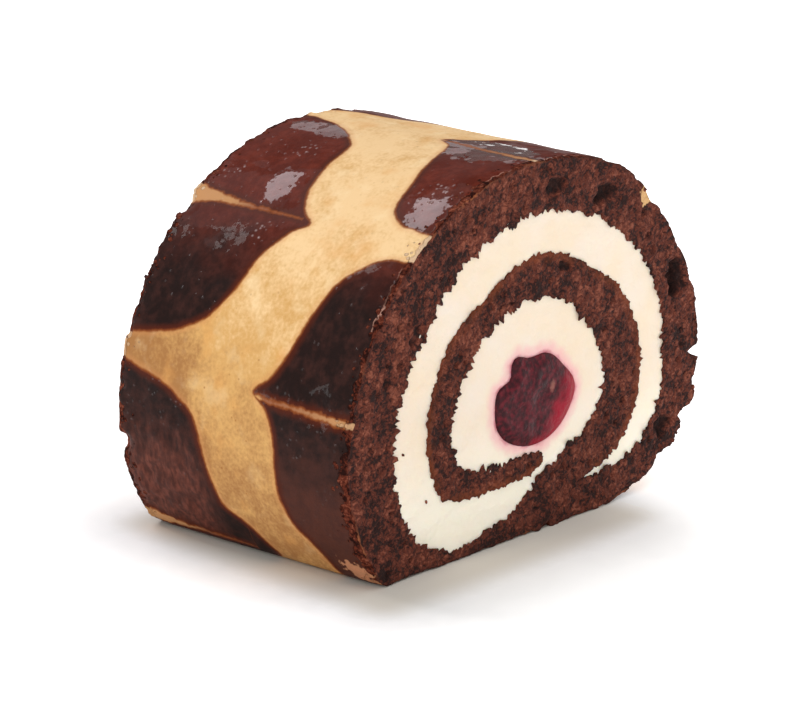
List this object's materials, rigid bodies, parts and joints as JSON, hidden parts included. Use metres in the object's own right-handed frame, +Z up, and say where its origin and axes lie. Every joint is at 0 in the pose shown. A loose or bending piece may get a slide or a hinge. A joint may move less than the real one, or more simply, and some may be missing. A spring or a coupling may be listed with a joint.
{
  "type": "swiss roll cake",
  "caption": "Cut length of chocolate swiss roll: a spiral of dark sponge and pale cream round a cherry core, its skin patterned in cocoa and beige, pressed flat underneath.",
  "frame": {"origin": "under the middle of the roll, on the plane of its flat underside", "axes": "+X across the roll, to the right as its shown cut face is seen; +Y along the roll, from the shown cut face at the front to the other one; +Z up"},
  "size_m": [0.101, 0.055, 0.072],
  "materials": {
    "sponge": "open-crumbed chocolate sponge, with a smooth glazed skin of beige and dark cocoa on its outer side",
    "cream": "soft matte whipped cream, stained pink beside the cherry",
    "cherry": "wet, glossy, slightly translucent cooked cherry"
  },
  "bodies": {
    "root": {"sponge": "sponge", "cream": "cream", "cherry": "cherry"}
  },
  "joints": []
}
